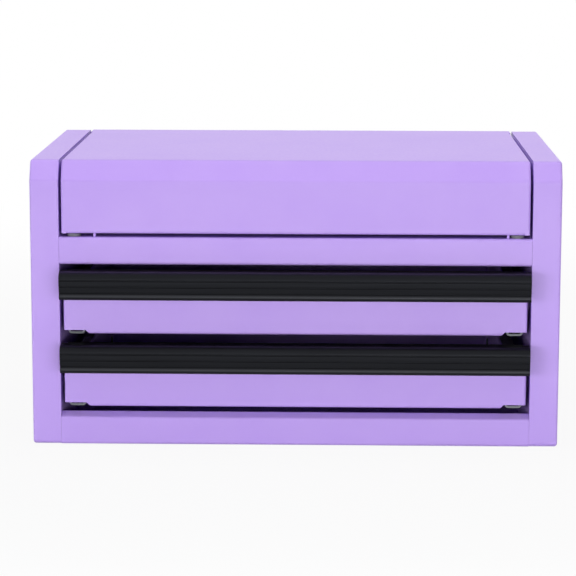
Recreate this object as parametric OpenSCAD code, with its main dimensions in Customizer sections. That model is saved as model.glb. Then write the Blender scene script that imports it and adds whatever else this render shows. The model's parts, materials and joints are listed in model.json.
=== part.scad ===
// Mini tool chest: two hollow side frames, a lift-up lid and two drawers on ball-bearing slides.
// Millimetres. X runs to the right, Y to the rear, Z up. The origin lies on the ground, under the
// middle of the chest with its pulls.

/* [Carcass] */
// Width over both side frames
body_w = 305; // [285:1:340]
// Depth of the side frames, front face to rear face
body_d = 180; // [176:1:210]
// Height of the side frames
body_h = 166; // [160:1:185]
// Thickness of one hollow side frame
frame_w = 16.5; // [14:0.5:20]
// Thickness of the steel sheet
sheet_t = 1; // [0.8:0.1:1.2]
// Outside radius of a fold in the sheet
bend_r = 1.6; // [1.4:0.1:2]
// Rounding of a pan's or frame's outline
corner_r = 2.5; // [2.4:0.1:4]
// Height of the slant along the front top edge
slant_drop = 11.4; // [8:0.2:14]
// Depth of the slant along the front top edge
slant_run = 6; // [4:0.5:9]
// Height of each front rail
rail_h = 16; // [13:0.5:18]
// Depth of the level ledge on top of the upper rail
rail_ledge = 18.5; // [12:0.5:24]
// Depth of the sloping ledge on top of the base rail
base_ledge = 7; // [4:0.5:10]
// How far the base rail's ledge rises to the rear
base_ledge_rise = 3.9; // [1:0.1:4.5]
// Depth of the lip turned down behind a ledge
ledge_lip = 8; // [4:0.5:10]
// Height of the flange at the rear of a cross pan
pan_back = 12; // [6:1:16]
// How far the back panel stands in from the rear ends
back_inset = 9.5; // [9:0.5:14]
// Width of the back panel's side flanges
back_flange = 8; // [5:0.5:8.5]
// Depth of the flange round an inner panel
panel_flange = 8; // [5:0.5:10]
// Height of the pressed bosses that carry the slides
boss_h = 4; // [2:0.25:5]
// Radius of a boss's flat top
boss_r = 5; // [4:0.25:7]
// Weld gap between pieces of the carcass
weld_gap = 0.1; // [0.05:0.05:0.2]

/* [Lid] */
// Gap between the lid and each side frame
lid_gap = 1.5; // [1:0.1:2.5]
// Depth of the lid's turned-in lower edge
lid_hem = 9; // [6:0.5:12]
// Length cut off each end of the lid's lower edge
hem_relief = 3; // [2:0.5:6]
// Rounding of the lid's lower front corners
lid_tip_r = 1.2; // [0.6:0.1:1.5]
// Space between the lid's side walls and the back panel
lid_wall_gap = 3; // [2:0.5:6]
// Height of the rubber pads under the lid
pad_h = 1.9; // [1.5:0.1:2.5]
// Radius of a rubber pad
pad_r = 4; // [3:0.25:5]
// Distance of a pad's centre from the side frame
pad_inset = 8.5; // [7:0.5:14]
// Clearance between the closed lid and its pads
pad_gap = 0.1; // [0.05:0.05:0.3]
// Radius of the small pressed pips beside the pads
pip_r = 0.8; // [0.6:0.1:1]
// Distance of the left pip's centre from the side frame
pip_inset = 20.5; // [16:0.5:30]
// Gap between the right pad and the pip beside it
pip_gap = 0.6; // [0.5:0.1:2]

/* [Hinge] */
// Length of the continuous hinge
hinge_len = 256; // [160:16:256]
// Number of knuckles
knuckles = 16; // [8:2:20]
// Outside radius of a knuckle
knuckle_r = 2.2; // [2:0.1:2.4]
// Radius of the hinge pin
pin_r = 1.1; // [0.9:0.05:1.2]
// Radial clearance of the pin in its knuckles
pin_fit = 0.05; // [0.02:0.01:0.1]
// Thickness of a hinge leaf
leaf_t = 0.9; // [0.8:0.1:1.1]
// Width of a hinge leaf, from the pin
leaf_w = 16; // [10:1:20]
// Gap between neighbouring knuckles, and round them
knuckle_gap = 0.3; // [0.2:0.05:0.5]

/* [Drawers] */
// Height from one drawer to the next
drawer_pitch = 42.8; // [41:0.2:46]
// Gap under the lowest drawer front
base_gap = 6.6; // [4:0.2:9]
// Gap over the upper pull
top_gap = 3.1; // [2:0.1:6]
// Gap between a drawer front and each side frame
face_gap = 2.2; // [1.5:0.1:3]
// Depth of the flanges round a drawer front
face_flange = 9; // [6:0.5:12]
// Width of the notch at a front's lower corner
notch_w = 15; // [10:0.5:20]
// Height of the notch at a front's lower corner
notch_h = 2.2; // [1.5:0.1:4]
// Depth of a tray, front wall to rear wall
tray_d = 159; // [154:1:162]
// Height of a tray
tray_h = 32; // [30:0.5:32]
// Height of a tray's floor over the lower edge of its front
tray_lift = 1.2; // [1.2:0.1:2]
// Height of the hem round a tray's rim
hem_h = 3.5; // [2.5:0.5:5]
// Thickness of the foam liners
liner_t = 2; // [1:0.5:4]
// Space round a foam liner
liner_gap = 1; // [0.5:0.5:3]
// Rounding of a liner's corners
liner_r = 4; // [2:0.5:8]
// How far a drawer opens
travel = 105; // [80:1:105]
// Least space behind the slides and the trays
rear_room = 3; // [2:0.5:6]

/* [Pulls] */
// Length of a pull
pull_len = 270; // [264:0.5:270.5]
// How far a pull stands out from the drawer front
pull_reach = 12; // [10.5:0.5:15]
// Height of a pull
pull_h = 16.2; // [16:0.1:17.5]
// Height of a pull's lower edge over the front's lower edge
pull_rise = 21.3; // [20.5:0.1:21.5]
// Wall of the extruded pull
pull_wall = 1.6; // [1.2:0.1:2]
// Radius of the pull's upper front edge
pull_edge_r = 4.6; // [3:0.1:8]
// Radius of the pull's bowed front
pull_bow_r = 22; // [14:1:26]
// Radius of the bead along the lower lip
bead_r = 2.1; // [1.2:0.1:2.4]
// Number of grip grooves along the front
grooves = 3; // [2:1:6]
// Radius of a grip groove
groove_r = 0.45; // [0.2:0.05:0.6]
// Angle from the first grip groove to the last, seen along the pull
groove_span = 19; // [14:0.5:20]
// Thickness of the flange against the drawer front
pull_back_t = 1.4; // [1.2:0.1:2]
// Height of that flange's lower edge over the pull's lower edge
pull_back_rise = 2.6; // [1:0.2:3]
// Thickness of the hook over the drawer front
hook_t = 1.3; // [1:0.1:1.6]
// Depth of the hook behind the drawer front
hook_leg = 4; // [2:0.25:4]
// Fit of the hook on the sheet
hook_fit = 0.1; // [0.05:0.05:0.2]
// Distance from the middle to the outer pull screws
screw_x = 96; // [60:1:110]
// Height of the pull screws over the pull's lower edge
screw_rise = 5; // [5:0.1:5.6]
// Radius of a pull screw
screw_r = 1.6; // [1.2:0.1:2]
// Radius of a pull screw's head
screw_head_r = 2.6; // [2.2:0.1:2.8]
// Height of a pull screw's head
screw_head_h = 1.6; // [1:0.1:2.4]
// Clearance round screws and rivets
shank_fit = 0.05; // [0.03:0.01:0.1]

/* [Slides] */
// Height of a slide
slide_h = 27; // [25:0.5:27]
// Thickness of a slide, boss to tray
slide_w = 10.4; // [10:0.1:12]
// Length of a slide's runner
slide_len = 150; // [144:1:152]
// Height of a slide's lower edge over the front's lower edge
slide_rise = -1.7; // [-2:0.1:2]
// Sheet thickness of rails and runners
slide_t = 1.2; // [1:0.05:1.3]
// Radius of a ball
ball_r = 2; // [1.8:0.05:2.1]
// Running gap between a ball and its races
ball_gap = 0.12; // [0.1:0.01:0.15]
// Angle over a ball's middle at which the rail's lip ends
rail_lip_a = 20; // [18:1:30]
// Angle past straight down at which the runner's race ends
runner_lip_a = 20; // [10:1:22]
// Height of a ball's middle over the runner's flange
flange_drop = 0.9; // [0.8:0.05:1]
// Flat of the runner's flange, between its race and its fold
flange_flat = 0.3; // [0.2:0.05:0.5]
// Thickness of a ball cage
cage_t = 0.5; // [0.4:0.05:0.5]
// Gap between a cage and the rail
cage_gap = 0.2; // [0.18:0.01:0.25]
// Reach of a cage's flanges past the middle of its balls
cage_reach = 2.9; // [2.8:0.05:3]
// Balls in each row of a cage
balls_per_row = 6; // [3:1:6]
// Distance between balls
ball_pitch = 7; // [5:0.25:7]
// Thickness of the stop tabs on rails and runners
stop_t = 1.2; // [1:0.1:1.5]
// Height of the stop tabs
stop_h = 8; // [6:0.5:9]
// Gap at the stops when a drawer is shut or fully open
stop_gap = 0.3; // [0.2:0.05:0.5]
// How far a rail's stop tabs stand in
stop_reach = 3; // [2.5:0.1:4]
// Distance of the rivets from the ends of a rail or runner
rivet_end = 18; // [12:1:30]
// Radius of a rivet's shank
rivet_r = 1.5; // [1.2:0.1:1.8]
// Radius of a rivet's head
rivet_head_r = 2.5; // [2.2:0.1:2.8]
// Height of a rivet's head
rivet_head_h = 1; // [0.8:0.1:1.4]

/* [Hidden] */
$fn = 64;

lilac = "#BCA0E9";
black = "#26262A";
zinc = "#C3C6CA";
foam = "#2C2C30";
rubber = "#8A8A92";

// A sweep round a slanted corner is a hair thinner than its straight runs, and laps into their ends
hair = 0.04;
lap_angle = 2;
// How far a flat sheet laps over the floor of its swept edge
floor_lap = (corner_r - bend_r) / 2;

// Depth of the trays: as set, or what the runners need to lie flush at the rear
tray_len = max(tray_d, face_flange + slide_len);

// Depth of the frames: as set, or what the slides and the trays need
rail_len = slide_len + stop_gap + stop_t;
slide_set = face_flange + sheet_t;
inside_d = max(slide_set + rail_len, sheet_t + tray_len) + rear_room;
frame_d = max(body_d, inside_d + sheet_t + back_inset);

// Planes across the depth
y_front = pull_reach / 2 - frame_d / 2;
y_rear = y_front + frame_d;
y_back = y_rear - back_inset - sheet_t;

// Planes across the width
inner_half = body_w / 2 - frame_w;
pan_half = inner_half - weld_gap;
lid_w = 2 * (inner_half - lid_gap);
face_half = inner_half - face_gap;
slide_half = inner_half - boss_h;
tray_half = slide_half - slide_w;

// Levels, from the ground up
lower_z = rail_h + base_gap;
upper_z = lower_z + drawer_pitch;
till_z = upper_z + pull_rise + pull_h + top_gap;
lid_z = till_z + rail_h + pad_h + pad_gap;
face_h = pull_rise + pull_h - hook_t - hook_fit;

// Hinge axis: the lid's skin clears the knuckles, the fixed leaf lies on the back panel
axis_y = y_back + knuckle_r - leaf_t;
axis_z = body_h - sheet_t - knuckle_r - knuckle_gap;
back_top = axis_z - knuckle_r - knuckle_gap;
lid_wall_y = y_back - lid_wall_gap;
knuckle_pitch = hinge_len / knuckles;

// Slide section: u runs from the frame to the tray, v up from the slide's middle
race_in = ball_r + ball_gap;
race_out = race_in + slide_t;
slide_bend_r = slide_t + bend_r - sheet_t;
ball_u = slide_w - slide_bend_r - flange_flat - race_in;
ball_v = slide_h / 2 - race_out;
runner_top = ball_v - flange_drop;
cage_u = slide_t + cage_gap;
slide_y = y_front + slide_set;
cage_len = slide_len - travel - 2 * (stop_t + stop_gap);
cage_y = travel / 2 + stop_t + stop_gap;

// Outlines that are folded or swept
frame_outline = [
    [y_front, 0],
    [y_rear, 0],
    [y_rear, body_h],
    [y_front + slant_run, body_h],
    [y_front, body_h - slant_drop]
];
lid_outline = [
    [lid_wall_y, body_h],
    [y_front + slant_run, body_h],
    [y_front, body_h - slant_drop],
    [y_front, lid_z]
];

// Direction, left-hand normal and heading of a line in the plane
function heading(a, b) = (b - a) / norm(b - a);
function left_of(d) = [-d[1], d[0]];
function angle_of(d) = atan2(d[1], d[0]);

// Normals of a path's sides, and the centres of the arcs of radius r that round its corners
function sides(pts, shut) = shut ? len(pts) : len(pts) - 1;
function normal(pts, i) = left_of(heading(pts[i], pts[(i + 1) % len(pts)]));
function corner(p, n0, n1, r) = p + r * (n0 + n1) / (1 + n0 * n1);
function centre(pts, i, r, shut) =
    let (last = len(pts) - 1)
    shut ? corner(pts[i], normal(pts, (i + last) % len(pts)), normal(pts, i), r)
    : i == 0 ? pts[0] + r * normal(pts, 0)
    : i == last ? pts[last] + r * normal(pts, last - 1)
    : corner(pts[i], normal(pts, i - 1), normal(pts, i), r);
function centres(pts, r, shut) = [for (i = [0:len(pts) - 1]) centre(pts, i, r, shut)];

// Lays a drawing of the Y-Z plane across the width
module along_x() {
    rotate([90, 0, 90])
        children();
}

// Lays a drawing of the X-Z plane along the depth
module along_y() {
    mirror([0, 1, 0])
        rotate([90, 0, 0])
            children();
}

// Part of a flat ring between two angles
module ring_part(r_out, r_in, from, to) {
    reach = 2 * r_out;
    intersection() {
        difference() {
            circle(r_out);
            circle(r_in);
        }
        polygon(concat(
            [[0, 0]],
            [for (k = [0:4]) let (a = from + (to - from) * k / 4) reach * [cos(a), sin(a)]]
        ));
    }
}

// Folded sheet in section: the sheet lies to the left of the path, which turns left at each fold
module fold(pts, r = bend_r, t = sheet_t) {
    mids = centres(pts, r, false);
    for (i = [0:len(pts) - 2]) {
        n = normal(pts, i);
        a = mids[i] - r * n;
        b = mids[i + 1] - r * n;
        polygon([a, b, b + t * n, a + t * n]);
    }
    for (i = [1:len(pts) - 2]) {
        from = angle_of(-normal(pts, i - 1));
        turn = acos(normal(pts, i - 1) * normal(pts, i));
        slanted = abs(turn - 90) > lap_angle;
        lap = slanted ? lap_angle : 0;
        thin = slanted ? hair : 0;
        translate(mids[i])
            ring_part(r - thin, r - t + thin, from - lap, from + turn + lap);
    }
}

// Sweeps a section round an outline whose corners are rounded. The first child is the section of the
// straight runs and square corners, the second that of slanted corners
module rim(pts, shut) {
    mids = centres(pts, corner_r, shut);
    for (i = [0:sides(pts, shut) - 1]) {
        from = mids[i];
        to = mids[(i + 1) % len(pts)];
        translate(to)
            rotate([0, 0, angle_of(-normal(pts, i))])
                rotate([90, 0, 0])
                    linear_extrude(norm(to - from))
                        children(0);
    }
    for (i = [(shut ? 0 : 1):(shut ? len(pts) - 1 : len(pts) - 2)]) {
        n0 = normal(pts, (i + len(pts) - 1) % len(pts));
        n1 = normal(pts, i);
        turn = acos(n0 * n1);
        slanted = abs(turn - 90) > lap_angle;
        lap = slanted ? lap_angle : 0;
        translate(mids[i])
            rotate([0, 0, angle_of(-n0) - lap])
                rotate_extrude(angle = turn + 2 * lap)
                    children(slanted ? 1 : 0);
    }
}

// Section of a pan's edge: floor, fold and wall of a given height, drawn thinner all round by thin
module pan_edge(wall_h, thin = 0) {
    translate([floor_lap / 2, thin])
        square([corner_r - bend_r - floor_lap / 2, sheet_t - 2 * thin]);
    translate([corner_r - bend_r, bend_r])
        ring_part(bend_r - thin, bend_r - sheet_t + thin, -90, 0);
    translate([corner_r - sheet_t + thin, bend_r])
        square([sheet_t - 2 * thin, wall_h - thin - bend_r]);
}

// Flat sheet that closes a pan inside its swept edge
module pan_floor(pts, shut) {
    linear_extrude(sheet_t)
        polygon(centres(pts, corner_r - floor_lap, shut));
}

// What a rounding of radius r takes off a square corner at the origin
module corner_round(r) {
    difference() {
        translate([-r, -r])
            square(2 * r);
        translate([r, r])
            circle(r);
    }
}

// Both hands of a piece modelled on the left
module both_sides() {
    children();
    mirror([1, 0, 0])
        children();
}

// Side frames

module side_shell() {
    translate([-body_w / 2, 0, 0])
        along_x() {
            rim(frame_outline, true) {
                pan_edge(frame_w);
                pan_edge(frame_w, hair);
            }
            pan_floor(frame_outline, true);
        }
}

// Pressed boss with a flat top and walls at 45 degrees, standing up from its sheet
module boss() {
    foot_r = boss_r + boss_h;
    turn = sheet_t * tan(45 / 2);
    rotate_extrude()
        polygon([
            [rivet_r + shank_fit, boss_h - sheet_t],
            [rivet_r + shank_fit, boss_h],
            [boss_r, boss_h],
            [foot_r, 0],
            [foot_r + bend_r, 0],
            [foot_r + bend_r, -sheet_t],
            [foot_r - turn, -sheet_t],
            [boss_r - turn, boss_h - sheet_t]
        ]);
}

module inner_panel() {
    outline = centres(frame_outline, sheet_t + weld_gap, true);
    difference() {
        translate([-inner_half, 0, 0])
            mirror([1, 0, 0])
                along_x() {
                    rim(outline, true) {
                        pan_edge(panel_flange);
                        pan_edge(panel_flange, hair);
                    }
                    pan_floor(outline, true);
                }
        boss_places()
            cylinder(r = boss_r + boss_h + bend_r / 2, h = 4 * sheet_t, center = true);
    }
    boss_places()
        boss();
}

module boss_places() {
    for (z = [lower_z, upper_z])
        rail_rivet_places(z)
            translate([-boss_h, 0, 0])
                rotate([0, 90, 0])
                    children();
}

module left_side_shell() {
    color(lilac)
        side_shell();
}

module right_side_shell() {
    color(lilac)
        mirror([1, 0, 0])
            side_shell();
}

module left_inner_panel() {
    color(lilac)
        inner_panel();
}

module right_inner_panel() {
    color(lilac)
        mirror([1, 0, 0])
            inner_panel();
}

// Cross members between the frames

module cross_pan(z, ledge, rise) {
    translate([-pan_half, 0, 0])
        along_x()
            linear_extrude(2 * pan_half)
                fold([
                    [y_front + ledge, z + rail_h + rise - ledge_lip],
                    [y_front + ledge, z + rail_h + rise],
                    [y_front, z + rail_h],
                    [y_front, z],
                    [y_back, z],
                    [y_back, z + pan_back]
                ]);
}

module base_pan() {
    color(lilac)
        cross_pan(0, base_ledge, base_ledge_rise);
}

module till_pan() {
    color(lilac) {
        cross_pan(till_z, rail_ledge, 0);
        for (x = [pip_inset - inner_half, inner_half - pad_inset - pad_r - pip_gap - pip_r])
            translate([x, y_front + bend_r + pip_r, till_z + rail_h - sheet_t / 2])
                cylinder(r = pip_r, h = pad_h + sheet_t / 2);
    }
}

module back_panel() {
    color(lilac)
        linear_extrude(back_top)
            fold([
                [-pan_half, y_back + back_flange],
                [-pan_half, y_back],
                [pan_half, y_back],
                [pan_half, y_back + back_flange]
            ]);
}

// Foam mat with rounded corners, between two corners of its plan
module mat(low, high, z) {
    translate([0, 0, z])
        linear_extrude(liner_t) {
            for (x = [low[0] + liner_r, high[0] - liner_r], y = [low[1] + liner_r, high[1] - liner_r])
                translate([x, y])
                    circle(liner_r);
            translate([low[0] + liner_r, low[1]])
                square([high[0] - low[0] - 2 * liner_r, high[1] - low[1]]);
            translate([low[0], low[1] + liner_r])
                square([high[0] - low[0], high[1] - low[1] - 2 * liner_r]);
        }
}

module till_liner() {
    color(foam)
        mat(
            [liner_gap - pan_half, y_front + rail_ledge + liner_gap],
            [pan_half - liner_gap, y_back - bend_r - liner_gap],
            till_z + sheet_t
        );
}

module lid_bumpers() {
    color(rubber)
        both_sides()
            translate([pad_inset - inner_half, y_front + bend_r + pad_r, till_z + rail_h])
                cylinder(r = pad_r, h = pad_h);
}

// Continuous hinge

module knuckle_row(first) {
    for (k = [first:2:knuckles - 1])
        translate([k * knuckle_pitch - hinge_len / 2 + knuckle_gap / 2, axis_y, axis_z])
            along_x()
                linear_extrude(knuckle_pitch - knuckle_gap)
                    difference() {
                        union() {
                            circle(knuckle_r);
                            children();
                        }
                        circle(pin_r + pin_fit);
                    }
}

module hinge_fixed_leaf() {
    strip_top = -knuckle_r - knuckle_gap;
    color(zinc) {
        knuckle_row(0)
            translate([-knuckle_r, strip_top])
                square([leaf_t, -strip_top]);
        translate([-hinge_len / 2, y_back - leaf_t, axis_z - leaf_w])
            cube([hinge_len, leaf_t, leaf_w + strip_top]);
    }
}

module hinge_lid_leaf() {
    strip_end = -knuckle_r - knuckle_gap;
    color(zinc) {
        knuckle_row(1)
            translate([strip_end - leaf_t, knuckle_r - leaf_t])
                square([leaf_t - strip_end, leaf_t]);
        translate([-hinge_len / 2, axis_y - leaf_w, body_h - sheet_t - leaf_t])
            cube([hinge_len, leaf_w + strip_end, leaf_t]);
    }
}

module hinge_pin() {
    color(zinc)
        translate([-hinge_len / 2, axis_y, axis_z])
            rotate([0, 90, 0])
                cylinder(r = pin_r, h = hinge_len);
}

// Lid

// Section of the lid: its skin from side to side, folded into both side walls
module lid_edge(thin = 0) {
    pan_edge(lid_w / 2 + thin, thin);
    translate([0, lid_w])
        mirror([0, 1])
            pan_edge(lid_w / 2 + thin, thin);
}

module lid_shell() {
    wall = concat(
        centres(lid_outline, corner_r - floor_lap, false),
        [[lid_wall_y, lid_z]]
    );
    hem_half = lid_w / 2 - hem_relief;
    color(lilac) {
        difference() {
            translate([-lid_w / 2, 0, 0])
                along_x() {
                    rim(lid_outline, false) {
                        lid_edge();
                        lid_edge(hair);
                    }
                    for (x = [0, lid_w - sheet_t])
                        translate([0, 0, x])
                            linear_extrude(sheet_t)
                                polygon(wall);
                }
            translate([-hem_half, y_front - sheet_t, lid_z - sheet_t])
                cube([2 * hem_half, 3 * sheet_t, bend_r + sheet_t]);
            both_sides()
                translate([-lid_w / 2, y_front - sheet_t, lid_z])
                    along_y()
                        linear_extrude(bend_r + sheet_t)
                            corner_round(lid_tip_r);
        }
        translate([-lid_w / 2, lid_wall_y, body_h - sheet_t])
            cube([lid_w, y_rear - lid_wall_y, sheet_t]);
        translate([-hem_half, 0, 0])
            along_x()
                linear_extrude(2 * hem_half)
                    fold([
                        [y_front, lid_z + 2 * bend_r],
                        [y_front, lid_z],
                        [y_front + lid_hem, lid_z]
                    ]);
    }
}

// Drawers, each placed by the height of its front's lower edge

module drawer_front(z) {
    outline = [
        [-face_half, z + face_h],
        [-face_half, z],
        [face_half, z],
        [face_half, z + face_h]
    ];
    color(lilac)
        difference() {
            translate([0, y_front, 0])
                along_y() {
                    rim(outline, false)
                        pan_edge(face_flange);
                    pan_floor(outline, false);
                }
            both_sides()
                translate([-face_half, y_front - sheet_t, z])
                    along_y()
                        linear_extrude(face_flange + 2 * sheet_t)
                            polygon([
                                [-sheet_t, -sheet_t],
                                [notch_w + sheet_t, -sheet_t],
                                [notch_w - notch_h, notch_h],
                                [-sheet_t, notch_h]
                            ]);
            pull_screw_places(z)
                rotate([90, 0, 0])
                    cylinder(r = screw_r + shank_fit, h = 8 * sheet_t, center = true);
        }
}

// Section of a tray's edge, with the sheet turned back on itself at the rim
module tray_edge() {
    pan_edge(tray_h - sheet_t);
    translate([corner_r - 2 * sheet_t, tray_h - hem_h])
        square([2 * sheet_t, hem_h - sheet_t]);
    translate([corner_r - sheet_t, tray_h - sheet_t])
        circle(sheet_t);
}

module drawer_tray(z) {
    front = y_front + sheet_t;
    outline = [
        [-tray_half, front],
        [tray_half, front],
        [tray_half, front + tray_len],
        [-tray_half, front + tray_len]
    ];
    color(lilac)
        difference() {
            translate([0, 0, z + tray_lift]) {
                rim(outline, true)
                    tray_edge();
                pan_floor(outline, true);
            }
            pull_screw_places(z)
                rotate([90, 0, 0])
                    cylinder(r = screw_r + shank_fit, h = 8 * sheet_t, center = true);
            both_sides()
                runner_rivet_places(z)
                    rotate([0, 90, 0])
                        cylinder(r = rivet_r + shank_fit, h = 4 * sheet_t, center = true);
        }
}

module drawer_liner(z) {
    half = tray_half - bend_r - liner_gap;
    front = y_front + sheet_t + bend_r + liner_gap;
    color(foam)
        mat(
            [-half, front],
            [half, y_front + sheet_t + tray_len - bend_r - liner_gap],
            z + tray_lift + sheet_t
        );
}

// Section of a pull: p runs forward from the drawer front, q up from the pull's lower edge
module pull_section() {
    edge_p = pull_reach - pull_edge_r;
    edge_q = pull_h - pull_edge_r;
    bow_p = pull_reach - pull_bow_r;
    bead_at = pull_bow_r - pull_wall / 2;
    lip_a = asin((edge_q - bead_r) / bead_at);
    difference() {
        union() {
            translate([0, pull_h - pull_wall])
                square([edge_p, pull_wall]);
            translate([edge_p, edge_q])
                ring_part(pull_edge_r, pull_edge_r - pull_wall, 0, 90);
            translate([bow_p, edge_q])
                ring_part(pull_bow_r, pull_bow_r - pull_wall, -lip_a, 0);
            translate([bow_p + bead_at * cos(lip_a), bead_r])
                circle(bead_r);
            translate([0, pull_back_rise])
                square([pull_back_t, pull_h - pull_back_rise]);
        }
        for (k = [0:grooves - 1])
            translate([bow_p, edge_q])
                rotate(-k * groove_span / (grooves - 1))
                    translate([pull_bow_r, 0])
                        circle(groove_r);
    }
}

// Section of the hook that goes over the drawer front's upper edge
module hook_section() {
    behind = sheet_t + hook_fit + hook_t;
    translate([-behind, pull_h - hook_t])
        square([behind + pull_back_t, hook_t]);
    translate([-behind, pull_h - hook_leg])
        square([hook_t, hook_leg]);
}

module drawer_pull(z) {
    hook_len = 2 * (face_half - corner_r);
    color(black)
        difference() {
            translate([0, y_front, z + pull_rise]) {
                translate([-pull_len / 2, 0, 0])
                    along_x()
                        linear_extrude(pull_len)
                            mirror([1, 0])
                                pull_section();
                translate([-hook_len / 2, 0, 0])
                    along_x()
                        linear_extrude(hook_len)
                            mirror([1, 0])
                                hook_section();
            }
            pull_screw_places(z)
                rotate([90, 0, 0])
                    cylinder(r = screw_r + shank_fit, h = 8 * sheet_t, center = true);
        }
}

module pull_screw_places(z) {
    for (x = [-screw_x, 0, screw_x])
        translate([x, y_front + sheet_t, z + pull_rise + screw_rise])
            children();
}

module pull_screws(z) {
    color(zinc)
        pull_screw_places(z) {
            translate([0, sheet_t, 0])
                rotate([-90, 0, 0])
                    cylinder(r = screw_head_r, h = screw_head_h);
            translate([0, sheet_t, 0])
                rotate([90, 0, 0])
                    cylinder(r = screw_r, h = 2 * sheet_t + pull_back_t);
        }
}

// Ball-bearing slides, modelled on the left

// Moves a slide's section to the left frame's bosses at a drawer's level
module slide_place(z) {
    translate([-slide_half, slide_y, z + slide_rise + slide_h / 2])
        children();
}

// Channel folded round both ball rows
module rail_section() {
    lip_u = ball_u + race_out;
    lip_v = ball_v + race_in * sin(rail_lip_a);
    fold(
        [
            [lip_u, lip_v],
            [lip_u, slide_h / 2],
            [0, slide_h / 2],
            [0, -slide_h / 2],
            [lip_u, -slide_h / 2],
            [lip_u, -lip_v]
        ],
        slide_bend_r, slide_t
    );
}

module runner_section() {
    fold_u = slide_w - slide_bend_r;
    fold_v = runner_top - slide_bend_r;
    translate([slide_w - slide_t, -fold_v])
        square([slide_t, 2 * fold_v]);
    for (side = [0, 1])
        mirror([0, side]) {
            translate([fold_u, fold_v])
                ring_part(slide_bend_r, slide_bend_r - slide_t, 0, 90);
            translate([ball_u + race_in, runner_top - slide_t])
                square([flange_flat, slide_t]);
            translate([ball_u, ball_v])
                ring_part(race_out, race_in, 270 - runner_lip_a, 360 - rail_lip_a);
        }
}

module rail_rivet_places(z) {
    slide_place(z)
        for (y = [rivet_end, slide_len - rivet_end])
            translate([0, y, 0])
                children();
}

module runner_rivet_places(z) {
    slide_place(z)
        for (y = [rivet_end, slide_len - rivet_end])
            translate([slide_w, y, 0])
                children();
}

module slide_rail(z) {
    difference() {
        slide_place(z) {
            along_y()
                linear_extrude(rail_len)
                    rail_section();
            for (y = [0, rail_len - stop_t])
                translate([0, y, -stop_h / 2])
                    cube([stop_reach, stop_t, stop_h]);
        }
        rail_rivet_places(z)
            rotate([0, 90, 0]) {
                cylinder(r = rivet_r + shank_fit, h = 4 * slide_t, center = true);
                cylinder(
                    r1 = rivet_r + shank_fit,
                    r2 = rivet_r + shank_fit + slide_t,
                    h = slide_t
                );
            }
    }
}

module slide_runner(z) {
    tab_u = cage_u + cage_gap;
    difference() {
        slide_place(z) {
            along_y()
                linear_extrude(slide_len)
                    runner_section();
            translate([tab_u, slide_len - stop_t, -stop_h / 2])
                cube([slide_w - tab_u, stop_t, stop_h]);
        }
        runner_rivet_places(z)
            rotate([0, 90, 0])
                cylinder(r = rivet_r + shank_fit, h = 4 * slide_t, center = true);
    }
}

module ball_places(z) {
    first = (cage_len - (balls_per_row - 1) * ball_pitch) / 2;
    slide_place(z)
        for (k = [0:balls_per_row - 1], v = [-ball_v, ball_v])
            translate([ball_u, cage_y + first + k * ball_pitch, v])
                children();
}

module ball_cage(z) {
    difference() {
        slide_place(z)
            translate([0, cage_y, 0])
                along_y()
                    linear_extrude(cage_len) {
                        translate([cage_u, -ball_v])
                            square([cage_t, 2 * ball_v]);
                        for (v = [-ball_v, ball_v])
                            translate([cage_u, v - cage_t / 2])
                                square([ball_u + cage_reach - cage_u, cage_t]);
                    }
        ball_places(z)
            cylinder(r = ball_r + ball_gap, h = 2 * race_in, center = true);
    }
}

// Rivets that hold the rails: flush heads in the rails, set heads inside the hollow frame
module rail_rivets(z) {
    rail_rivet_places(z)
        rotate([0, 90, 0]) {
            cylinder(r1 = rivet_r, r2 = rivet_r + slide_t - shank_fit, h = slide_t - shank_fit);
            translate([0, 0, -sheet_t])
                cylinder(r = rivet_r, h = sheet_t + slide_t / 2);
            translate([0, 0, -sheet_t - rivet_head_h])
                cylinder(r = rivet_head_r, h = rivet_head_h);
        }
}

module slide_rail_rivets() {
    color(zinc)
        both_sides()
            for (z = [lower_z, upper_z])
                rail_rivets(z);
}

// Rivets that hold a drawer's runners: heads in the tray, set heads in the runners
module runner_rivets(z) {
    color(zinc)
        both_sides()
            runner_rivet_places(z)
                rotate([0, 90, 0]) {
                    translate([0, 0, -slide_t])
                        cylinder(r = rivet_r, h = slide_t + sheet_t);
                    translate([0, 0, sheet_t])
                        cylinder(r = rivet_head_r, h = rivet_head_h);
                    translate([0, 0, -slide_t - rivet_head_h])
                        cylinder(r = rivet_head_r, h = rivet_head_h);
                }
}

module ball_cages(z) {
    color(zinc)
        both_sides()
            ball_cage(z);
}

module slide_balls(z) {
    color(zinc)
        both_sides()
            ball_places(z)
                sphere(ball_r);
}

module left_rail(z) {
    color(zinc)
        slide_rail(z);
}

module right_rail(z) {
    color(zinc)
        mirror([1, 0, 0])
            slide_rail(z);
}

module left_runner(z) {
    color(zinc)
        slide_runner(z);
}

module right_runner(z) {
    color(zinc)
        mirror([1, 0, 0])
            slide_runner(z);
}

left_side_shell();
right_side_shell();
left_inner_panel();
right_inner_panel();
base_pan();
back_panel();
till_pan();
till_liner();
lid_bumpers();
hinge_fixed_leaf();
hinge_pin();
slide_rail_rivets();
left_rail(upper_z);  // upper_left_rail
right_rail(upper_z);  // upper_right_rail
left_rail(lower_z);  // lower_left_rail
right_rail(lower_z);  // lower_right_rail
lid_shell();
hinge_lid_leaf();
drawer_front(upper_z);  // upper_drawer_front
drawer_tray(upper_z);  // upper_drawer_tray
drawer_liner(upper_z);  // upper_drawer_liner
drawer_pull(upper_z);  // upper_drawer_pull
pull_screws(upper_z);  // upper_pull_screws
left_runner(upper_z);  // upper_left_runner
right_runner(upper_z);  // upper_right_runner
runner_rivets(upper_z);  // upper_runner_rivets
drawer_front(lower_z);  // lower_drawer_front
drawer_tray(lower_z);  // lower_drawer_tray
drawer_liner(lower_z);  // lower_drawer_liner
drawer_pull(lower_z);  // lower_drawer_pull
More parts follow.
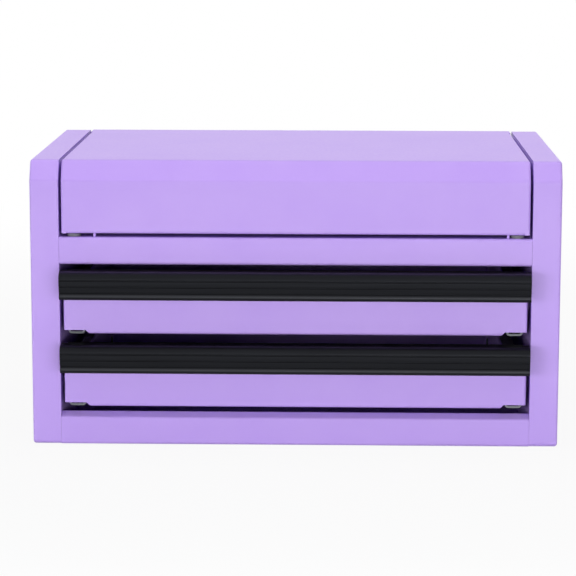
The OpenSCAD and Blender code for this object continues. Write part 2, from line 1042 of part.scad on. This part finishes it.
pull_screws(lower_z);  // lower_pull_screws
left_runner(lower_z);  // lower_left_runner
right_runner(lower_z);  // lower_right_runner
runner_rivets(lower_z);  // lower_runner_rivets
ball_cages(upper_z);  // upper_ball_cages
slide_balls(upper_z);  // upper_slide_balls
ball_cages(lower_z);  // lower_ball_cages
slide_balls(lower_z);  // lower_slide_balls
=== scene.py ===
import json
import math
import bmesh
import bpy
from mathutils import Matrix, Vector


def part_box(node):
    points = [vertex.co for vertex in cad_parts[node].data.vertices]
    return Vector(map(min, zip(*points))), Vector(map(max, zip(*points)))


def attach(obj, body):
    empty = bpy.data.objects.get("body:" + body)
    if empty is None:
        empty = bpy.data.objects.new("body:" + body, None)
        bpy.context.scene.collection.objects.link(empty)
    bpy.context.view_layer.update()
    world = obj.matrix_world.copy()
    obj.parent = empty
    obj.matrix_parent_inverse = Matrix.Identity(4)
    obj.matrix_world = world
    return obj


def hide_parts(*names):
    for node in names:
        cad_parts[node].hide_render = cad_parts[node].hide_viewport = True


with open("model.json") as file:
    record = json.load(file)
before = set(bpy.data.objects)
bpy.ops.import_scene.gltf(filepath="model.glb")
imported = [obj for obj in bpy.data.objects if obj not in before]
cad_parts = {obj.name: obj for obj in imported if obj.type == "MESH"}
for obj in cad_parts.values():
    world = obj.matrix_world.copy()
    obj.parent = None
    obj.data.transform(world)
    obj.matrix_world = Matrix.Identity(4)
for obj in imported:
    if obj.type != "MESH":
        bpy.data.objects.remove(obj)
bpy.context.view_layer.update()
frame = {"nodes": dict(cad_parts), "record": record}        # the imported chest, in metres, front towards -Y
nodes = frame["nodes"]
mm = 0.001
print("frame loaded with", len(nodes), "nodes")


def toLinear(hexColour):  # sRGB hex to linear RGBA
    channels = [int(hexColour[i:i + 2], 16) / 255 for i in (1, 3, 5)]
    return [c / 12.92 if c <= 0.04045 else ((c + 0.055) / 1.055) ** 2.4 for c in channels] + [1.0]


def perMetre(size):  # texture scale of a pattern whose grains are that many millimetres apart
    return 1 / (size * mm)


def addNode(tree, kind, settings=None, inputs=None):  # inputs are values or feeding sockets
    node = tree.nodes.new(kind)
    for key, value in (settings or {}).items():
        setattr(node, key, value)
    for key, value in (inputs or {}).items():
        if isinstance(value, bpy.types.NodeSocket):
            tree.links.new(value, node.inputs[key])
        else:
            node.inputs[key].default_value = value
    return node


def startMaterial(name):  # empty material with its object coordinates
    material = bpy.data.materials.new(name)
    material.use_nodes = True
    tree = material.node_tree
    tree.nodes.clear()
    place = addNode(tree, "ShaderNodeTexCoord").outputs["Object"]
    return material, tree, place


def closeMaterial(material, surface):  # shader with its inputs, and the output
    tree = material.node_tree
    shader = addNode(tree, "ShaderNodeBsdfPrincipled", inputs=surface)
    addNode(tree, "ShaderNodeOutputMaterial", inputs={"Surface": shader.outputs["BSDF"]})
    return material


# Powder coat on sheet steel: fused powder flows out to a satin film with a faint orange peel,
# and its pigment lies a little thicker in some places than in others
powderCoat = {
    "colour": "#B899EA",
    "thinColour": "#BC9EEB",
    "cloud": 38,        # mm, slow change of the film's thickness
    "grain": 0.5,       # mm, specks of pigment
    "grainShare": 0.35,
    "spread": (0.35, 0.65),  # part of the noise that goes from one colour to the other
    "peel": 1.8,        # mm, orange peel, drawn a little coarse so that it shows
    "peelHeight": 0.012,  # mm
    "peelRange": (0.3, 0.7),  # part of the noise that goes from low to high roughness
    "roughness": (0.37, 0.45),
    "ior": 1.5,
}


def makePowderCoat():
    spec = powderCoat
    material, tree, place = startMaterial("lilac_powder_coat")
    cloud = addNode(tree, "ShaderNodeTexNoise", inputs={
        "Vector": place, "Scale": perMetre(spec["cloud"]), "Detail": 3.0, "Roughness": 0.55})
    grain = addNode(tree, "ShaderNodeTexNoise", inputs={
        "Vector": place, "Scale": perMetre(spec["grain"]), "Detail": 1.0})
    peel = addNode(tree, "ShaderNodeTexNoise", inputs={
        "Vector": place, "Scale": perMetre(spec["peel"]), "Detail": 2.0, "Roughness": 0.4})
    speckled = addNode(tree, "ShaderNodeMix", {"data_type": "FLOAT"}, {
        "Factor": spec["grainShare"], "A": cloud.outputs["Fac"], "B": grain.outputs["Fac"]})
    thinness = addNode(tree, "ShaderNodeMapRange", inputs={
        "Value": speckled.outputs["Result"],
        "From Min": spec["spread"][0], "From Max": spec["spread"][1]})
    film = addNode(tree, "ShaderNodeMix", {"data_type": "RGBA"}, {
        "Factor": thinness.outputs["Result"],
        "A": toLinear(spec["colour"]), "B": toLinear(spec["thinColour"])})
    gloss = addNode(tree, "ShaderNodeMapRange", inputs={
        "Value": peel.outputs["Fac"],
        "From Min": spec["peelRange"][0], "From Max": spec["peelRange"][1],
        "To Min": spec["roughness"][0], "To Max": spec["roughness"][1]})
    bump = addNode(tree, "ShaderNodeBump", inputs={
        "Height": peel.outputs["Fac"], "Strength": 0.35, "Distance": spec["peelHeight"] * mm})
    return closeMaterial(material, {
        "Base Color": film.outputs["Result"], "Roughness": gloss.outputs["Result"],
        "Normal": bump.outputs["Normal"], "IOR": spec["ior"]})


# Black anodised aluminium: a dyed film over extruded metal, with faint die lines along the bar,
# and a painted highlight: a paler line along the bead at its lower lip
blackAluminium = {
    "colour": "#1E1F22",
    "lineColour": "#28292D",
    "line": 0.7,        # mm between die lines, drawn coarse so that they show
    "lineLength": 60,   # how much longer than wide a line is
    "lineHeight": 0.02,  # mm
    "grain": 0.25,      # mm, etched grain
    "grainShare": 0.3,
    "glossRange": (0.3, 0.7),  # part of the noise that goes from low to high roughness
    "roughness": (0.34, 0.46),
    # painted highlight: a paler colour along the bead, where light catches it
    "paintedHighlightColour": "#36373B",
    "paintedHighlightHeight": 2.6,   # mm from the pull's lower edge to the middle of the painted highlight line
    "paintedHighlightReach": (0.4, 1.2),  # mm from that middle, where it starts to fade and where it ends
}


def makeBlackAluminium():
    spec = blackAluminium
    material, tree, place = startMaterial("black_anodised_aluminium")
    drawn = addNode(tree, "ShaderNodeMapping", inputs={
        "Vector": place, "Scale": (1 / spec["lineLength"], 1, 1)})
    lines = addNode(tree, "ShaderNodeTexNoise", inputs={
        "Vector": drawn.outputs["Vector"], "Scale": perMetre(spec["line"]), "Detail": 3.0})
    grain = addNode(tree, "ShaderNodeTexNoise", inputs={
        "Vector": place, "Scale": perMetre(spec["grain"])})
    dyed = addNode(tree, "ShaderNodeMix", {"data_type": "RGBA"}, {
        "Factor": lines.outputs["Fac"],
        "A": toLinear(spec["colour"]), "B": toLinear(spec["lineColour"])})
    lowerEdge, upperEdge = (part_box(pull + "_drawer_pull")[0][2] for pull in ("lower", "upper"))
    middle = lowerEdge + spec["paintedHighlightHeight"] * mm
    halfPitch = (upperEdge - lowerEdge) / 2
    up = addNode(tree, "ShaderNodeSeparateXYZ", inputs={"Vector": place}).outputs["Z"]
    wrapped = addNode(tree, "ShaderNodeMath", {"operation": "WRAP"}, {  # same on both pulls
        0: up, 1: middle + halfPitch, 2: middle - halfPitch})
    away = addNode(tree, "ShaderNodeMath", {"operation": "SUBTRACT"}, {
        0: wrapped.outputs[0], 1: middle})
    distance = addNode(tree, "ShaderNodeMath", {"operation": "ABSOLUTE"}, {0: away.outputs[0]})
    # painted highlight: the band along each pull's bead turns to the paler colour
    paintedHighlight = addNode(tree, "ShaderNodeMapRange", {"interpolation_type": "SMOOTHSTEP"}, {
        "Value": distance.outputs[0],
        "From Min": spec["paintedHighlightReach"][0] * mm, "From Max": spec["paintedHighlightReach"][1] * mm,
        "To Min": 1.0, "To Max": 0.0})
    colour = addNode(tree, "ShaderNodeMix", {"data_type": "RGBA"}, {
        "Factor": paintedHighlight.outputs["Result"],
        "A": dyed.outputs["Result"], "B": toLinear(spec["paintedHighlightColour"])})
    height = addNode(tree, "ShaderNodeMix", {"data_type": "FLOAT"}, {
        "Factor": spec["grainShare"], "A": lines.outputs["Fac"], "B": grain.outputs["Fac"]})
    gloss = addNode(tree, "ShaderNodeMapRange", inputs={
        "Value": height.outputs["Result"],
        "From Min": spec["glossRange"][0], "From Max": spec["glossRange"][1],
        "To Min": spec["roughness"][0], "To Max": spec["roughness"][1]})
    bump = addNode(tree, "ShaderNodeBump", inputs={
        "Height": height.outputs["Result"], "Strength": 0.3, "Distance": spec["lineHeight"] * mm})
    return closeMaterial(material, {
        "Base Color": colour.outputs["Result"], "Roughness": gloss.outputs["Result"],
        "Normal": bump.outputs["Normal"], "Metallic": 1.0})


# Zinc-plated steel: a bluish plating over rolled strip, with fine lines along the slides
# and patches where the plating's passive film is thicker. Both tones are darkened as painted shade
zincSteel = {
    # darker than bright zinc: painted shade for the slide ends that sit in shadow in the drawer notches
    "colour": "#7C7F84",
    "filmColour": "#686B70",
    "patch": 9,         # mm
    "patchShare": 0.5,
    "line": 0.35,       # mm between rolling lines
    "lineLength": 40,   # how much longer than wide a line is
    "lineHeight": 0.015,  # mm
    "glossRange": (0.35, 0.65),  # part of the noise that goes from low to high roughness
    "roughness": (0.24, 0.42),
}


def makeZincSteel():
    spec = zincSteel
    material, tree, place = startMaterial("zinc_plated_steel")
    rolled = addNode(tree, "ShaderNodeMapping", inputs={
        "Vector": place, "Scale": (1, 1 / spec["lineLength"], 1)})
    lines = addNode(tree, "ShaderNodeTexNoise", inputs={
        "Vector": rolled.outputs["Vector"], "Scale": perMetre(spec["line"]), "Detail": 2.0})
    patch = addNode(tree, "ShaderNodeTexNoise", inputs={
        "Vector": place, "Scale": perMetre(spec["patch"]), "Detail": 4.0, "Roughness": 0.6})
    colour = addNode(tree, "ShaderNodeMix", {"data_type": "RGBA"}, {
        "Factor": patch.outputs["Fac"],
        "A": toLinear(spec["colour"]), "B": toLinear(spec["filmColour"])})
    worn = addNode(tree, "ShaderNodeMix", {"data_type": "FLOAT"}, {
        "Factor": spec["patchShare"], "A": lines.outputs["Fac"], "B": patch.outputs["Fac"]})
    gloss = addNode(tree, "ShaderNodeMapRange", inputs={
        "Value": worn.outputs["Result"],
        "From Min": spec["glossRange"][0], "From Max": spec["glossRange"][1],
        "To Min": spec["roughness"][0], "To Max": spec["roughness"][1]})
    bump = addNode(tree, "ShaderNodeBump", inputs={
        "Height": lines.outputs["Fac"], "Strength": 0.25, "Distance": spec["lineHeight"] * mm})
    return closeMaterial(material, {
        "Base Color": colour.outputs["Result"], "Roughness": gloss.outputs["Result"],
        "Normal": bump.outputs["Normal"], "Metallic": 1.0})


# EVA foam: cut cells leave a matte, pitted skin
evaFoam = {
    "colour": "#242428",
    "cellColour": "#34343A",
    "cell": 0.7,        # mm across a cell, drawn a little coarse so that it shows
    "cellDepth": 0.12,  # mm
    "shade": 12,        # mm, slow change of the foam's tone
    "shadeShare": 0.5,
    "roughness": 0.92,
    "ior": 1.45,
}


def makeEvaFoam():
    spec = evaFoam
    material, tree, place = startMaterial("dark_eva_foam")
    cells = addNode(tree, "ShaderNodeTexVoronoi", {"feature": "F1"}, {
        "Vector": place, "Scale": perMetre(spec["cell"])})
    shade = addNode(tree, "ShaderNodeTexNoise", inputs={
        "Vector": place, "Scale": perMetre(spec["shade"]), "Detail": 4.0})
    mixed = addNode(tree, "ShaderNodeMix", {"data_type": "FLOAT"}, {
        "Factor": spec["shadeShare"], "A": cells.outputs["Distance"], "B": shade.outputs["Fac"]})
    colour = addNode(tree, "ShaderNodeMix", {"data_type": "RGBA"}, {
        "Factor": mixed.outputs["Result"],
        "A": toLinear(spec["colour"]), "B": toLinear(spec["cellColour"])})
    bump = addNode(tree, "ShaderNodeBump", {"invert": True}, {
        "Height": cells.outputs["Distance"], "Strength": 0.5, "Distance": spec["cellDepth"] * mm})
    return closeMaterial(material, {
        "Base Color": colour.outputs["Result"], "Normal": bump.outputs["Normal"],
        "Roughness": spec["roughness"], "IOR": spec["ior"]})


# Moulded grey rubber: a dull skin with a bloom that dusts it lighter in places
greyRubber = {
    "colour": "#646469",
    "bloomColour": "#7C7C82",
    "bloom": 2.5,       # mm
    "grain": 0.3,       # mm
    "grainHeight": 0.03,  # mm
    "roughness": 0.72,
}


def makeGreyRubber():
    spec = greyRubber
    material, tree, place = startMaterial("grey_moulded_rubber")
    bloom = addNode(tree, "ShaderNodeTexNoise", inputs={
        "Vector": place, "Scale": perMetre(spec["bloom"]), "Detail": 4.0})
    grain = addNode(tree, "ShaderNodeTexNoise", inputs={
        "Vector": place, "Scale": perMetre(spec["grain"])})
    colour = addNode(tree, "ShaderNodeMix", {"data_type": "RGBA"}, {
        "Factor": bloom.outputs["Fac"],
        "A": toLinear(spec["colour"]), "B": toLinear(spec["bloomColour"])})
    bump = addNode(tree, "ShaderNodeBump", inputs={
        "Height": grain.outputs["Fac"], "Strength": 0.4, "Distance": spec["grainHeight"] * mm})
    return closeMaterial(material, {
        "Base Color": colour.outputs["Result"], "Normal": bump.outputs["Normal"],
        "Roughness": spec["roughness"]})


finishes = {
    "powder_coat": makePowderCoat(),
    "black_aluminium": makeBlackAluminium(),
    "zinc_steel": makeZincSteel(),
    "eva_foam": makeEvaFoam(),
    "grey_rubber": makeGreyRubber(),
}
slotOf = {part["node"]: part["material_slot"] for part in frame["record"]["subparts"]}
for name, slot in slotOf.items():
    for holder in nodes[name].material_slots:
        holder.material = finishes[slot]
print("finishes on all CAD pieces")


def selectWhere(piece, element, test):  # selects faces or edges that pass, in edit mode
    shape = bmesh.from_edit_mesh(piece.data)
    bpy.ops.mesh.select_mode(type="FACE" if element == "faces" else "EDGE")
    bpy.ops.mesh.select_all(action="DESELECT")
    for part in getattr(shape, element):
        if test(part):
            part.select_set(True)
    bmesh.update_edit_mesh(piece.data)


straight = 0.99          # a face whose normal's z is past this counts as level
endShare = 0.4           # of a piece's length from its middle, past which only its end lies


def roundEnd(length, side=1):  # test for the edges round one end of a piece that long
    return lambda edge: all(v.co.z * side > endShare * length for v in edge.verts)


def startPiece(name):  # names the primitive that was just added and opens it for editing
    piece = bpy.context.object
    piece.name = name
    piece.data.name = name
    bpy.ops.object.mode_set(mode="EDIT")
    return piece


def closePiece(piece, angle=35):  # back to object mode, with the place moved into the mesh
    bpy.ops.object.mode_set(mode="OBJECT")
    bpy.ops.object.select_all(action="DESELECT")
    piece.select_set(True)
    bpy.context.view_layer.objects.active = piece
    bpy.ops.object.transform_apply(location=True, rotation=True, scale=True)
    bpy.ops.object.shade_smooth_by_angle(angle=math.radians(angle))


def copyTo(piece, name, shift):  # a copy with a mesh of its own, moved by shift
    twin = piece.copy()
    twin.data = piece.data.copy()
    twin.name = name
    bpy.context.scene.collection.objects.link(twin)
    twin.data.transform(Matrix.Translation(shift))
    return twin


def joinPieces(pieces, name):
    bpy.ops.object.select_all(action="DESELECT")
    for piece in pieces:
        piece.select_set(True)
    bpy.context.view_layer.objects.active = pieces[0]
    bpy.ops.object.join()
    pieces[0].name = name
    pieces[0].data.name = name
    return pieces[0]


def dress(piece, body, node):  # material, slot, body and the CAD node that the piece stands for
    piece.data.materials.clear()
    piece.data.materials.append(finishes[slotOf[node]])
    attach(piece, body)
    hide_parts(node)


# Ribbed foam mats in the drawers and the till, in mm
ribbedMat = {
    "cornerRadius": 4.0,
    "cornerSegments": 8,
    "edgeRound": 0.35,
    "edgeSegments": 3,
    "ribPitch": 4.0,
    "ribFlank": 0.5,    # slope on each side of a rib
    "ribHeight": 0.6,
    "level": 0.01,      # how near to the mat's top a face's middle lies
    "smoothAngle": 50,  # degrees
}


def makeRibbedMat(name, node, body):
    spec = ribbedMat
    low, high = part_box(node)
    size = high - low
    centre = (low + high) / 2
    base = size.z - spec["ribHeight"] * mm
    bpy.ops.object.select_all(action="DESELECT")
    bpy.ops.mesh.primitive_cube_add(size=1, location=(centre.x, centre.y, low.z + base / 2))
    mat = startPiece(name)
    bpy.ops.transform.resize(value=(size.x, size.y, base))
    selectWhere(mat, "edges", lambda e: abs(e.verts[0].co.z - e.verts[1].co.z) > base / 2)
    bpy.ops.mesh.bevel(
        offset=spec["cornerRadius"] * mm, segments=spec["cornerSegments"], affect="EDGES")
    selectWhere(mat, "edges", roundEnd(base))
    bpy.ops.mesh.bevel(
        offset=spec["edgeRound"] * mm, segments=spec["edgeSegments"], affect="EDGES")
    strip = spec["ribPitch"] * mm / 2    # a rib or the groove beside it
    count = int((size.y - 2 * spec["cornerRadius"] * mm) / strip)
    first = centre.y - count * strip / 2
    for k in range(count + 1):
        bpy.ops.mesh.select_all(action="SELECT")
        bpy.ops.mesh.bisect(plane_co=(0, first + k * strip, 0), plane_no=(0, 1, 0))
    selectWhere(mat, "faces", lambda f: (   # every second strip of the top
        f.normal.z > straight
        and abs(f.calc_center_median().z - base / 2) < spec["level"] * mm
        and f.calc_area() > size.x * strip / 2
        and int((f.calc_center_median().y + centre.y - first) / strip) % 2 == 0))
    bpy.ops.mesh.inset(
        thickness=spec["ribFlank"] * mm, depth=spec["ribHeight"] * mm, use_individual=True)
    closePiece(mat, spec["smoothAngle"])
    dress(mat, body, node)


makeRibbedMat("till_ribbed_mat", "till_liner", "carcass")
for drawer in ("upper", "lower"):
    makeRibbedMat(drawer + "_ribbed_mat", drawer + "_drawer_liner", drawer + "_drawer")
print("foam mats laid")


# Rubber pads under the lid's front corners, with a rounded rim and a flat middle, in mm
lidPad = {
    "sides": 40,
    "rimRound": 0.7,
    "rimSegments": 5,
    "flatInset": 1.4,
    "smoothAngle": 40,  # degrees
}


def makeLidPads():
    spec = lidPad
    low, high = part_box("lid_bumpers")
    radius = (high.y - low.y) / 2
    height = high.z - low.z
    left = Vector((low.x + radius, low.y + radius, low.z + height / 2))
    bpy.ops.object.select_all(action="DESELECT")
    bpy.ops.mesh.primitive_cylinder_add(
        vertices=spec["sides"], radius=radius, depth=height, location=left)
    pad = startPiece("left_lid_pad")
    selectWhere(pad, "edges", roundEnd(height))
    bpy.ops.mesh.bevel(offset=spec["rimRound"] * mm, segments=spec["rimSegments"], affect="EDGES")
    selectWhere(pad, "faces", lambda f: f.normal.z > straight)
    bpy.ops.mesh.inset(thickness=spec["flatInset"] * mm)
    closePiece(pad, spec["smoothAngle"])
    twin = copyTo(pad, "right_lid_pad", Vector((high.x - low.x - 2 * radius, 0, 0)))
    pads = joinPieces([pad, twin], "lid_rubber_pads")
    dress(pads, "carcass", "lid_bumpers")


makeLidPads()
print("lid pads set")


# Pan-head screws with a cross recess, driven through the tray and the front into the pull, in mm
panScrew = {
    "sides": 32,
    "crown": 0.9,       # rounding of the head's rim
    "crownSegments": 5,
    "shankRadius": 1.6,
    "shankLength": 3.4,
    "recessLength": 2.9,
    "recessWidth": 0.75,
    "recessDepth": 1.0,
    "spacing": 96,
}


def makePanScrews(drawer):
    spec = panScrew
    node = drawer + "_pull_screws"
    low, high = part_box(node)
    headRadius = (high.z - low.z) / 2
    shankLength = spec["shankLength"] * mm
    headHeight = high.y - low.y - shankLength
    headY = high.y - headHeight / 2
    centreZ = (low.z + high.z) / 2
    facing = (math.radians(-90), 0, 0)   # the head's top faces +Y, into the tray
    bpy.ops.object.select_all(action="DESELECT")
    bpy.ops.mesh.primitive_cylinder_add(
        vertices=spec["sides"], radius=headRadius, depth=headHeight,
        location=(0, headY, centreZ), rotation=facing)
    head = startPiece(drawer + "_screw_head")
    selectWhere(head, "edges", roundEnd(headHeight))
    bpy.ops.mesh.bevel(offset=spec["crown"] * mm, segments=spec["crownSegments"], affect="EDGES")
    selectWhere(head, "faces", lambda f: f.normal.z < -straight)
    bpy.ops.mesh.inset(thickness=headRadius - spec["shankRadius"] * mm)
    bpy.ops.mesh.extrude_region_move(TRANSFORM_OT_translate={"value": (0, -shankLength, 0)})
    closePiece(head)
    length, width = spec["recessLength"] * mm, spec["recessWidth"] * mm
    for across, upright in ((length, width), (width, length)):   # the two arms of the cross
        bpy.ops.object.select_all(action="DESELECT")
        bpy.ops.mesh.primitive_cube_add(size=1, location=(0, high.y, centreZ))
        arm = startPiece(drawer + "_recess_arm")
        bpy.ops.transform.resize(value=(across, 2 * spec["recessDepth"] * mm, upright))
        closePiece(arm)
        cut = head.modifiers.new("recess", "BOOLEAN")
        cut.operation = "DIFFERENCE"
        cut.solver = "EXACT"
        cut.object = arm
        bpy.context.view_layer.objects.active = head
        bpy.ops.object.modifier_apply(modifier=cut.name)
        bpy.data.objects.remove(arm)
    closePiece(head)
    sides = [copyTo(head, drawer + "_screw_side", Vector((x * mm, 0, 0)))
             for x in (-spec["spacing"], spec["spacing"])]
    screws = joinPieces([head] + sides, drawer + "_cross_screws")
    dress(screws, drawer + "_drawer", node)


# Round-head rivets that hold the runners to the tray, in mm
roundRivet = {
    "sides": 28,
    "shankRadius": 1.5,
    "headHeight": 1.0,
    "dome": 0.85,       # rounding of the head's rim
    "domeSegments": 5,
    "grip": 2.2,        # the runner and the tray's wall between the heads
}


def makeRoundRivets(drawer):
    spec = roundRivet
    node = drawer + "_runner_rivets"
    low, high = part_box(node)
    headRadius = (high.z - low.z) / 2
    length = (2 * spec["headHeight"] + spec["grip"]) * mm
    waist = spec["grip"] * mm / 2        # from the rivet's middle to the back of a head
    first = Vector((low.x + length / 2, low.y + headRadius, (low.z + high.z) / 2))
    bpy.ops.object.select_all(action="DESELECT")
    bpy.ops.mesh.primitive_cylinder_add(
        vertices=spec["sides"], radius=headRadius, depth=length,
        location=first, rotation=(0, math.radians(90), 0))
    rivet = startPiece(drawer + "_rivet")
    for side in (-1, 1):
        bpy.ops.mesh.select_all(action="SELECT")
        bpy.ops.mesh.bisect(plane_co=first + Vector((side * waist, 0, 0)), plane_no=(1, 0, 0))
    selectWhere(rivet, "faces", lambda f: abs(f.calc_center_median().z) < waist / 2)
    bpy.ops.mesh.delete(type="FACE")
    selectWhere(rivet, "edges", lambda e: e.is_boundary)
    bpy.ops.mesh.extrude_edges_move()
    shrink = spec["shankRadius"] * mm / headRadius
    bpy.ops.transform.resize(value=(1, shrink, shrink))
    bpy.ops.mesh.bridge_edge_loops()
    for side in (-1, 1):
        selectWhere(rivet, "edges", roundEnd(length, side))
        bpy.ops.mesh.bevel(offset=spec["dome"] * mm, segments=spec["domeSegments"], affect="EDGES")
    bpy.ops.mesh.select_all(action="SELECT")
    bpy.ops.mesh.normals_make_consistent(inside=False)
    closePiece(rivet)
    across = Vector((high.x - low.x - length, 0, 0))
    along = Vector((0, high.y - low.y - 2 * headRadius, 0))
    others = [copyTo(rivet, drawer + "_rivet_copy", shift)
              for shift in (across, along, across + along)]
    rivets = joinPieces([rivet] + others, drawer + "_round_rivets")
    dress(rivets, drawer + "_drawer", node)


for drawer in ("upper", "lower"):
    makePanScrews(drawer)
    makeRoundRivets(drawer)
print("screws and rivets set")


# Camera at the photograph's place and angle
photoView = {
    "place": (0.02554, -1.38798, 0.3135),   # m
    "pitchDown": 9.599,  # degrees, as are yaw and roll
    "yaw": 1.299,
    "roll": 0.1,
    "lens": 143.66,     # mm
    "sensor": 36,       # mm
}
cameraData = bpy.data.cameras.new("photo_camera")
cameraData.lens = photoView["lens"]
cameraData.sensor_width = photoView["sensor"]
camera = bpy.data.objects.new("photo_camera", cameraData)
bpy.context.scene.collection.objects.link(camera)
camera.matrix_world = (
    Matrix.Translation(photoView["place"])
    @ Matrix.Rotation(math.radians(photoView["yaw"]), 4, "Z")
    @ Matrix.Rotation(math.radians(90 - photoView["pitchDown"]), 4, "X")
    @ Matrix.Rotation(math.radians(photoView["roll"]), 4, "Z"))
bpy.context.scene.camera = camera
print("camera set")


# White sweep: the floor keeps a soft shadow and shows white to the camera
whiteFloor = {
    "size": 24.0,       # m
    "drop": 0.2,        # mm under the chest's base
    "colour": "#BEBEC0",
    "nearLift": 0.92,   # share of its white that no shadow takes away, beside the chest
    "near": 0.25,       # m from the middle of the chest
    "far": 1.0,         # m, from where the floor is all white
}


def seenDirectly(tree):  # 1 for camera, glossy and transmission rays, else 0
    path = addNode(tree, "ShaderNodeLightPath")
    first = addNode(tree, "ShaderNodeMath", {"operation": "MAXIMUM"}, {
        0: path.outputs["Is Camera Ray"], 1: path.outputs["Is Glossy Ray"]})
    return addNode(tree, "ShaderNodeMath", {"operation": "MAXIMUM"}, {
        0: first.outputs[0], 1: path.outputs["Is Transmission Ray"]}).outputs[0]


bpy.ops.object.select_all(action="DESELECT")
bpy.ops.mesh.primitive_plane_add(
    size=whiteFloor["size"], location=(0, 0, -whiteFloor["drop"] * mm))
floor = bpy.context.object
floor.name = "studio_floor"
floorMaterial, tree, place = startMaterial("white_floor")
paint = addNode(tree, "ShaderNodeBsdfDiffuse", inputs={"Color": toLinear(whiteFloor["colour"])})
glow = addNode(tree, "ShaderNodeEmission", inputs={"Strength": 1.0})
spot = addNode(tree, "ShaderNodeVectorMath", {"operation": "LENGTH"}, {0: place})
lift = addNode(tree, "ShaderNodeMapRange", {"interpolation_type": "SMOOTHSTEP"}, {
    "Value": spot.outputs["Value"], "From Min": whiteFloor["near"], "From Max": whiteFloor["far"],
    "To Min": whiteFloor["nearLift"], "To Max": 1.0})
share = addNode(tree, "ShaderNodeMath", {"operation": "MULTIPLY"}, {
    0: seenDirectly(tree), 1: lift.outputs["Result"]})
shown = addNode(tree, "ShaderNodeMixShader", inputs={
    "Fac": share.outputs[0], 1: paint.outputs["BSDF"], 2: glow.outputs["Emission"]})
addNode(tree, "ShaderNodeOutputMaterial", inputs={"Surface": shown.outputs["Shader"]})
floor.data.materials.append(floorMaterial)

# Plain white all round, which gives little light of its own
studioSky = {
    "colour": "#FFFFFF",
    "ambient": 0.24,    # strength of the light it gives
    "backdrop": 1.0,    # strength where it is seen
}
world = bpy.data.worlds.new("studio")
bpy.context.scene.world = world
world.use_nodes = True
tree = world.node_tree
tree.nodes.clear()
ambient, backdrop = (addNode(tree, "ShaderNodeBackground", inputs={
    "Color": toLinear(studioSky["colour"]), "Strength": studioSky[use]})
    for use in ("ambient", "backdrop"))
sky = addNode(tree, "ShaderNodeMixShader", inputs={
    "Fac": seenDirectly(tree),
    1: ambient.outputs["Background"], 2: backdrop.outputs["Background"]})
addNode(tree, "ShaderNodeOutputWorld", inputs={"Surface": sky.outputs["Shader"]})

# Soft lamps, in metres and watts. Those that aren't mirrored leave no hot streak on lid and pulls
softBoxes = [
    {"name": "front_left", "place": (-1.5, -1.8, 0.3), "aim": (0, 0, 0.09),
     "size": (0.8, 0.4), "power": 9.4, "mirrored": True},
    {"name": "front_right", "place": (0.6, -2.3, 0.24), "aim": (0, 0, 0.09),
     "size": (1.2, 0.4), "power": 8.5, "mirrored": True},
    {"name": "overhead", "place": (0, -0.12, 1.5), "aim": (0, 0, 0.09),
     "size": (1.8, 1.2), "power": 16.5, "mirrored": False},
    {"name": "rear_fill", "place": (0.4, 2.2, 0.7), "aim": (0, 0, 0.09),
     "size": (1.6, 0.6), "power": 9, "mirrored": False},
    {"name": "low_front", "place": (0, -0.45, 0.07), "aim": (0, 0, 0.03),
     "size": (1.4, 0.05), "power": 1.15, "mirrored": False},
]
for box in softBoxes:
    lampData = bpy.data.lights.new(box["name"], "AREA")
    lampData.shape = "RECTANGLE"
    lampData.size, lampData.size_y = box["size"]
    lampData.energy = box["power"]
    lamp = bpy.data.objects.new(box["name"], lampData)
    lamp.visible_camera = False
    lamp.visible_glossy = box["mirrored"]
    lamp.location = box["place"]
    aim = Vector(box["aim"]) - lamp.location
    lamp.rotation_euler = aim.to_track_quat("-Z", "Y").to_euler()
    bpy.context.scene.collection.objects.link(lamp)
bpy.context.scene.view_settings.view_transform = "Standard"
print("floor and light set")
